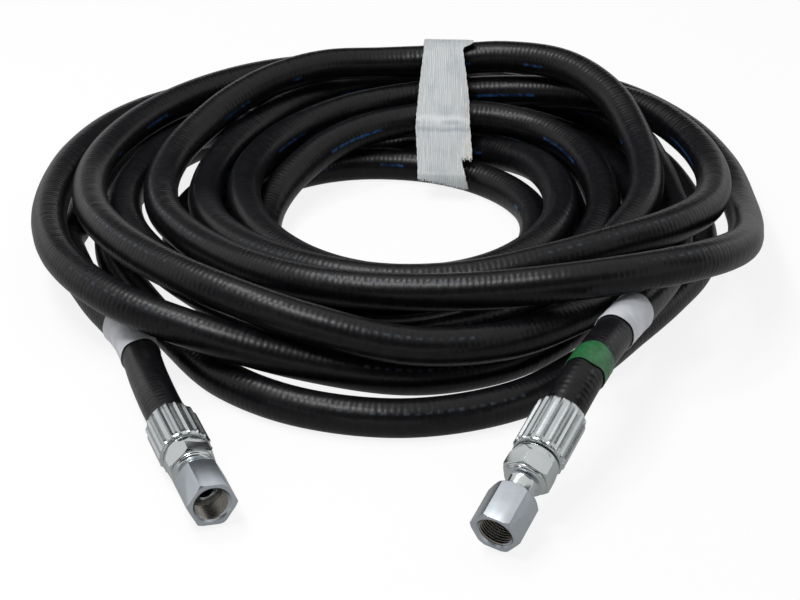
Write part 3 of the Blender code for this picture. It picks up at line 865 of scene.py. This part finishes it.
def swivel_nut():
    piece = prism(6, 0.0, NUT_LENGTH, HEX_R)
    piece.name = "swivel nut"
    carve(piece, turned_blank(), "INTERSECT")
    soften(piece, 0.00016)
    web, relief, bore, mouth, hole = 0.0052, 0.0093, THREAD_CREST_R, 0.0102, 0.0079
    lead = NUT_LENGTH - (mouth - bore) * 1.2
    past = NUT_LENGTH + 0.001
    drill = [(0, -0.001), (hole, -0.001), (hole, web), (relief - 0.0004, web),
             (relief, web + 0.0004), (relief, 0.0094), (bore, 0.0100), (bore, lead),
             (mouth - 0.0002, NUT_LENGTH - 0.0003), (mouth + 0.0001, NUT_LENGTH),
             (mouth + 0.0001, past), (0, past), (0, -0.001)]
    piece.data.materials.append(nut_zinc)
    piece.data.materials.append(thread_zinc)
    carve(piece, spun("drill", drill, 96))
    carve(piece, thread_tap())
    for face in piece.data.polygons:
        out = face.center.xy.length
        if 0.0062 < face.center.z < NUT_LENGTH - 0.0016 and out < THREAD_R + 0.0002:
            face.material_index = 1
    return piece


nuts = fit_pair(swivel_nut(), "_swivel_nut", "nut_{}", "swivel_nut_",
                NUT_ROLL, NUT_BACK)

# %% [markdown]
# ## Band and sleeves
#
# A turn of green tape marks one end, and each end wears a paper sleeve. Tape and paper are
# wound on by hand, so their edges wander and they don't touch the hose everywhere. Each is a
# sheet wrapped round the same line as the hose, with its edges moved a little by a slow wave,
# and then given its thickness.

# %% A wrapped sheet
SHEET_WALL = 0.0003
SHEET_ROWS = 24
SHEET_COLUMNS = 64


def grid_faces(rows, columns, closed):
    """Quads over rows of points; a closed grid joins its last column to its first."""
    return [[k * columns + a, k * columns + b, (k + 1) * columns + b, (k + 1) * columns + a]
            for k in range(rows) for a in range(columns if closed else columns - 1)
            for b in [(a + 1) % columns]]


def wrapped(name, start, length, edge, dents):
    """A sheet round the hose with wandering edges and shallow dents, given a thickness."""
    verts = []
    for k in range(SHEET_ROWS + 1):
        for a in range(SHEET_COLUMNS):
            angle = 2 * pi * a / SHEET_COLUMNS
            share = k / SHEET_ROWS
            side = share * 2 - 1
            wander = edge * (sin(2 * angle + 1.0) + 0.6 * sin(5 * angle + side)) * side
            arc = start + length * k / SHEET_ROWS + wander * abs(side)
            dent = sin(3 * angle + 14 * k / SHEET_ROWS) * sin(5 * k / SHEET_ROWS + 2 * angle)
            point = on_hose(arc, angle, HOSE_R + GAP + dents * (dent + 1) / 2)
            verts.append((point.x, point.y, max(point.z, 0.0)))
    piece = sheet(name, verts, grid_faces(SHEET_ROWS, SHEET_COLUMNS, True))
    facing_out(piece)
    thicken(piece, SHEET_WALL, 1)
    bpy.ops.object.shade_smooth_by_angle(angle=radians(50))
    return piece


def stained(name, colour, roughness, spots, pale, dark, crumple, depth):
    """A finish whose colour is stained and whose surface is a little crumpled."""
    material = finish(name, colour, roughness)
    place = own_place(material)
    clouded(material, noise(material, place, *spots), dark, pale)
    raise_by(material, noise(material, place, *crumple), depth)
    return material


green = stained("green tape", (0.012, 0.13, 0.035), 0.34, (220, 3), (0.018, 0.150, 0.045),
                (0.008, 0.085, 0.022), (500, 2), 0.0001)
paper = stained("paper", (0.62, 0.64, 0.68), 0.55, (60, 4), (0.70, 0.71, 0.74),
                (0.50, 0.52, 0.56), (240, 3), 0.0002)

# %% The band and the two sleeves
BAND_START, BAND_LENGTH = 0.030, 0.0155
RIGHT_SLEEVE_START, RIGHT_SLEEVE_LENGTH = 0.082, 0.038
LEFT_SLEEVE_START, LEFT_SLEEVE_LENGTH = 0.084, 0.044
left_from = ARC[-1] - LEFT_SLEEVE_START - LEFT_SLEEVE_LENGTH
for name, start, length, edge, dents, material, solid, slot in (
        ("green_band", BAND_START, BAND_LENGTH, 0.0009, 0.0002,
         green, "green_band_right", "green_tape"),
        ("right_paper_sleeve", RIGHT_SLEEVE_START, RIGHT_SLEEVE_LENGTH, 0.0006, 0.0003,
         paper, "label_sleeve_right", "paper"),
        ("left_paper_sleeve", left_from, LEFT_SLEEVE_LENGTH, 0.0006, 0.0003,
         paper, "label_sleeve_left", "paper")):
    piece = wrapped(name, start, length, edge, dents)
    piece.data.materials.append(material)
    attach(piece, "hose")
    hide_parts(solid)
    print(piece.name, "has", len(piece.data.polygons), "faces")

# %% [markdown]
# ## The filament tape
#
# The coil is held by a wide strip of filament tape pulled over its back. Drawn tight, a tape
# touches only the turns that stand out farthest and runs straight between them, so its line is
# found by asking, for each direction from under the outside turn over the top to the inside,
# which point of the hose reaches farthest. The strip is then ribbed lengthwise by its threads,
# narrows and widens as it was pulled, has a crease and a lifted edge, and ends in a tear.

# %% The tape's line
STRAP_X = 0.0245              # where the tape's line crosses the coil's own X axis
STRAP_ANGLE = 87.4            # of the tape's line, degrees
STRAP_WIDTH = 0.0395
STRAP_GAP = 0.0007
STRAP_TUCK = 44               # how far each end wraps below a turn's middle, degrees
THREADS = 30
TAPE_WALL = 0.00022
TAPE_ROWS = 190


def tape_line(stations):
    """Middle points of the tape and the way out of it, drawn tight round the turns."""
    centre = np.array((COIL_X + STRAP_X, COIL_Y, 0))
    turn = radians(STRAP_ANGLE)
    out = np.array((cos(turn), sin(turn), 0))
    side = np.array((-sin(turn), cos(turn), 0))
    up = np.array((0, 0, 1))
    route = ROUTE - centre
    between_points = [route[:-1] * (1 - t) + route[1:] * t for t in (0.25, 0.5, 0.75)]
    fine = np.vstack([smooth_route(route, HOSE_R / 2)] + between_points)
    held = fine[(np.abs(fine @ side) < STRAP_WIDTH / 2 + HOSE_R) & (fine @ out > 0)]
    middles, ways = [], []
    for k in range(stations):
        angle = radians(180 + STRAP_TUCK - (180 + 2 * STRAP_TUCK) * k / (stations - 1))
        way = out * cos(angle) + up * sin(angle)
        far = held[np.argmax(held @ way)]
        middles.append(centre + out * (far @ out) + up * far[2] + way * (HOSE_R + STRAP_GAP))
        ways.append(way)
    return np.array(middles), np.array(ways), side


# %% The strip with its edges, crease and tear
# Edges of the tape as shares of its full width, by the arc from its inner end (mm).
LEFT_EDGE = [(0, -0.39), (18, -0.39), (36, -0.42), (56, -0.46), (73, -0.44), (92, -0.415),
             (117, -0.37), (134, -0.36), (160, -0.40), (260, -0.45)]
RIGHT_EDGE = [(0, 0.54), (29, 0.54), (40, 0.52), (56, 0.485), (79, 0.455), (100, 0.39),
              (118, 0.33), (121, 0.35), (123, 0.50), (129, 0.52), (132, 0.37), (160, 0.40),
              (260, 0.45)]
TORN_AT = 29                  # arc where the top layer's torn end is
TORN_WIDTH = (0.345, 0.476)   # share left of the torn part, at the tear and at the inner end
INNER_END = (14, 6)           # arc of the inner end, at the left and at the right


def tape_line_even(count):
    """The tape's line with its points evenly apart, and the arc in millimetres."""
    middles, ways, side = tape_line(150)
    arc = np.concatenate([[0], np.cumsum(np.linalg.norm(np.diff(middles, axis=0), axis=1))])
    stops = np.linspace(0, arc[-1], count)
    line = np.stack([np.interp(stops, arc, middles[:, k]) for k in range(3)], axis=1)
    way = np.stack([np.interp(stops, arc, ways[:, k]) for k in range(3)], axis=1)
    return line, way / np.linalg.norm(way, axis=1)[:, None], side, stops * 1000


def torn_off(arc, share, column):
    """Whether a cell of the strip is missing: past the torn end or past the inner end."""
    tooth = 1.3 * sin(column * 2.3) + 0.8 * sin(column * 5.1)
    start = INNER_END[0] + (INNER_END[1] - INNER_END[0]) * (share + 0.4)
    if arc < start + 0.5 * tooth:
        return True
    left = TORN_WIDTH[1] + (TORN_WIDTH[0] - TORN_WIDTH[1]) * (arc - 8) / (TORN_AT - 8)
    return arc < TORN_AT + tooth and share > left


def hump(arc, middle, width):
    return np.exp(-((arc - middle) / width) ** 2)


def filament_tape():
    line, way, side, arcs = tape_line_even(TAPE_ROWS)
    columns = THREADS * 4
    across = np.linspace(0, 1, columns + 1)
    verts, places = [], []
    for at, normal, arc in zip(line, way, arcs):
        low = np.interp(arc, *zip(*LEFT_EDGE)) + 0.006 * sin(arc * 0.9) * sin(arc * 0.37)
        high = np.interp(arc, *zip(*RIGHT_EDGE)) + 0.006 * sin(arc * 0.8 + 1) * sin(arc * 0.31)
        crease = 0.0004 * hump(arc, 60.5, 2.0) - 0.0004 * hump(arc, 55, 2.6)
        for share in low + (high - low) * across:
            rib = 0.00009 * cos(share * THREADS * 2 * pi)
            puff = 0.0004 * sin(arc * 0.11 + 3 * share) * sin(arc * 0.07 - 2 * share) ** 2
            tab = 0.0016 * hump(arc, 125, 3) * max(0, share - 0.33) / 0.17
            flap = 0.0016 * hump(arc, 40, 12) * max(0, share - 0.36) / 0.16
            lift = 0.0004 + rib + puff + tab + flap + crease * (1 + 0.5 * sin(9 * share))
            verts.append(tuple(at - side * share * STRAP_WIDTH + normal * lift))
            places.append((share, arc / 1000))
    wide = columns + 1
    faces = [face for face in grid_faces(TAPE_ROWS - 1, wide, False)
             if not torn_off(arcs[face[0] // wide], places[face[0]][0], face[0] % wide)]
    corners = [value for face in faces for corner in face for value in places[corner]]
    piece = sheet("filament_tape", verts, faces, corners, "across_and_along")
    bpy.ops.object.mode_set(mode="EDIT")
    bpy.ops.mesh.select_all(action="SELECT")
    bpy.ops.mesh.delete_loose()
    close_edit()
    facing_out(piece)
    thicken(piece, TAPE_WALL, -1)
    bpy.ops.object.shade_smooth_by_angle(angle=radians(60))
    return piece


# %% The tape's finish


def film_finish():
    material = finish("filament tape", (0.56, 0.60, 0.62), 0.3)
    u, v = uv_axes(material, "across_and_along")
    place = own_place(material)
    threads = maths(material, "SINE", maths(material, "MULTIPLY", u, THREADS * 2 * pi))
    drawn_out = stretched(material, u, v, 55.0, 45.0)
    streak = between(material, noise(material, drawn_out, 1.0, 2), 0.3, 0.7, 0.0, 1.0)
    ribs = between(material, threads, -1.0, 1.0, 0.35, 0.0)
    dark = maths(material, "ADD", maths(material, "MULTIPLY", streak, 0.45), ribs)
    film = tint(material, dark, (0.58, 0.61, 0.62), (0.30, 0.32, 0.33))
    show = between(material, noise(material, place, 55, 3), 0.52, 0.72, 0.0, 0.40)
    film = tint(material, show, film, (0.24, 0.27, 0.31))
    wander = maths(material, "MULTIPLY", noise(material, place, 90, 2), 0.006)
    along = maths(material, "ADD", v, wander)
    # A painted highlight along the raised ridge of the crease and a painted shade in the dip beside
    # it, as a pale band and a dark band across the tape.
    for middle, half, colour, most in ((0.0640, 0.0040, (0.74, 0.76, 0.78), 0.5),
                                       (0.0560, 0.0030, (0.12, 0.15, 0.19), 0.5)):
        away = maths(material, "ABSOLUTE", maths(material, "SUBTRACT", along, middle))
        film = tint(material, between(material, away, 0.0, half, most, 0.0), film, colour)
    edge = between(material, maths(material, "ABSOLUTE", u), 0.36, 0.46, 0.0, 0.45)
    dirt = between(material, noise(material, place, 160, 2), 0.4, 0.6, 0.0, 1.0)
    old = maths(material, "MULTIPLY", edge, dirt)
    feed(material, "Base Color", tint(material, old, film, (0.42, 0.36, 0.24)))
    raise_by(material, noise(material, drawn_out, 1.0, 3), 0.00025)
    return material


tape = filament_tape()
tape.data.materials.append(film_finish())
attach(tape, "hose")
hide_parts("tie_strap")
print("tape has", len(tape.data.polygons), "faces")

# %% [markdown]
# ## What is inside the ferrules
#
# The inner tube, the two wire braids and the end of the cover are inside each ferrule, and show
# only when it is taken apart. Their solids are right as they are, so they only get a finish.

# %% Finishes for the inner layers


def patchy_shine(material, where, scale, low, high):
    spots = noise(material, where, scale, 2)
    feed(material, "Roughness", between(material, spots, 0.3, 0.7, low, high))


def wire_finish():
    material = finish("braided wire", (0.55, 0.50, 0.40), 0.35, 1.0)
    place = own_place(material)
    wires = maths(material, "MULTIPLY", noise(material, place, 700, 1), 40.0)
    raise_by(material, maths(material, "SINE", wires), 0.0001)
    patchy_shine(material, place, 300, 0.28, 0.45)
    return material


def tube_finish():
    material = finish("inner rubber", (0.02, 0.02, 0.02), 0.6)
    place = own_place(material)
    patchy_shine(material, place, 400, 0.5, 0.7)
    raise_by(material, noise(material, place, 900, 2), 0.00005)
    return material


inner = {"inner_tube": tube_finish(), "hose_cover_end": tube_finish()}
inner["wire_braid_inner"] = inner["wire_braid_outer"] = wire_finish()
for side in ("left", "right"):
    for name, material in inner.items():
        solid = bpy.data.objects[name + "_" + side]
        for slot in solid.material_slots:
            slot.material = material
print("inner layers finished")

# %% [markdown]
# ## The hose's length
#
# The whole length is one stiff, coiled hose. It leaves the right-hand ferrule and ends at the
# left-hand fitting; here only its length is printed.

print("declared", round(float(ARC[-1]), 2), "m")

# %% [markdown]
# ## Floor, background and lamps
#
# The object stands on a plain white sweep. The floor is mostly its own white, so that it keeps
# only a soft shadow under the hose, and it is darker in reflections, so that black rubber stays
# black underneath. Two lamps above the left, one before the coil and one behind it, draw the
# long highlights. Dark cards stand out of sight, as in a product studio, so that polished metal
# has something dark to reflect.

# %% Floor and world
FLOOR_GLOW = 0.86             # share of the floor's own white
FLOOR_DIMMED = 0.60           # how much of it reflections lose


def seen_share(tree, direct, mirrored):
    """One share for what the eye or a clear material sees, one for reflections, else 0."""
    path = tree.nodes.new("ShaderNodeLightPath")
    total = None
    for name, share in (("Is Camera Ray", direct), ("Is Glossy Ray", mirrored),
                        ("Is Transmission Ray", direct)):
        part = tree.nodes.new("ShaderNodeMath")
        part.operation = "MULTIPLY"
        part.inputs[1].default_value = share
        tree.links.new(path.outputs[name], part.inputs[0])
        if total is None:
            total = part.outputs[0]
            continue
        both = tree.nodes.new("ShaderNodeMath")
        both.operation = "MAXIMUM"
        tree.links.new(total, both.inputs[0])
        tree.links.new(part.outputs[0], both.inputs[1])
        total = both.outputs[0]
    return total


def white_floor():
    bpy.ops.object.select_all(action="DESELECT")
    bpy.ops.mesh.primitive_plane_add(size=40, location=(0, 0, -0.0005))
    floor = bpy.context.object
    floor.name = "floor"
    material = finish("floor", (0.93, 0.93, 0.93), 0.9)
    tree = material.node_tree
    glow = tree.nodes.new("ShaderNodeEmission")
    glow.inputs["Color"].default_value = (1, 1, 1, 1)
    mix = tree.nodes.new("ShaderNodeMixShader")
    tree.links.new(seen_share(tree, FLOOR_GLOW, FLOOR_GLOW), mix.inputs[0])
    tree.links.new(tree.nodes["Principled BSDF"].outputs[0], mix.inputs[1])
    tree.links.new(glow.outputs[0], mix.inputs[2])
    shade = tree.nodes.new("ShaderNodeMath")
    shade.operation = "SUBTRACT"
    shade.inputs[0].default_value = 1.0
    tree.links.new(seen_share(tree, 0.0, FLOOR_DIMMED), shade.inputs[1])
    tree.links.new(shade.outputs[0], glow.inputs["Strength"])
    tree.links.new(mix.outputs[0], tree.nodes["Material Output"].inputs["Surface"])
    floor.data.materials.append(material)
    return floor


floor = white_floor()
world = bpy.data.worlds.new("white room")
world.use_nodes = True
room = world.node_tree.nodes["Background"]
room.inputs["Color"].default_value = (1, 1, 1, 1)
mixed = world.node_tree.nodes.new("ShaderNodeMapRange")
mixed.inputs[3].default_value = 0.45
mixed.inputs[4].default_value = 1.0
world.node_tree.links.new(seen_share(world.node_tree, 1.0, 0.8), mixed.inputs[0])
world.node_tree.links.new(mixed.outputs[0], room.inputs["Strength"])
bpy.context.scene.world = world
print("white room")

# %% Lamps and cards


def lamp(name, place, size, watts):
    """A rectangle of light that looks at the middle of the floor."""
    data = bpy.data.lights.new(name, "AREA")
    data.shape = "RECTANGLE"
    data.size, data.size_y = size
    data.energy = watts
    made = bpy.data.objects.new(name, data)
    made.location = place
    made.rotation_euler = (-made.location).to_track_quat("-Z", "Y").to_euler()
    bpy.context.scene.collection.objects.link(made)
    return made


def dark_card(name, place, aim, size, shade):
    bpy.ops.object.select_all(action="DESELECT")
    bpy.ops.mesh.primitive_plane_add(size=1, location=(0, 0, 0))
    card = bpy.context.object
    card.name = name
    card.scale = (size[0], size[1], 1)
    card.location = place
    card.rotation_euler = (Vector(aim) - Vector(place)).to_track_quat("Z", "Y").to_euler()
    card.data.materials.append(finish(name, (shade, shade, shade * 1.2), 0.9))
    card.visible_camera = False
    card.visible_diffuse = False
    card.visible_shadow = False
    return card


lamp("key", (-0.5, -0.45, 1.5), (0.6, 0.35), 11)
lamp("left", (-0.6, 0.3, 1.5), (0.45, 0.25), 7)
for name, place, aim, size, shade in (
        ("back_card", (0, 1.3, 0.75), (0, 0, 0), (2.2, 0.9), 0.02),
        ("front_card", (0, -1.35, 0.9), (0, 0, 0), (2.6, 1.1), 0.02),
        ("left_card", (-1.2, -0.6, 0.5), (0, 0, 0), (0.5, 0.9), 0.02),
        ("right_card", (1.3, -0.2, 0.6), (0, 0, 0), (0.5, 0.9), 0.02),
        ("low_card", (0, -0.95, 0.002), (0, -0.95, 1), (2.4, 0.9), 0.2)):
    dark_card(name, place, aim, size, shade)
print("lamps on")

# %% View settings
bpy.context.scene.view_settings.view_transform = "Standard"
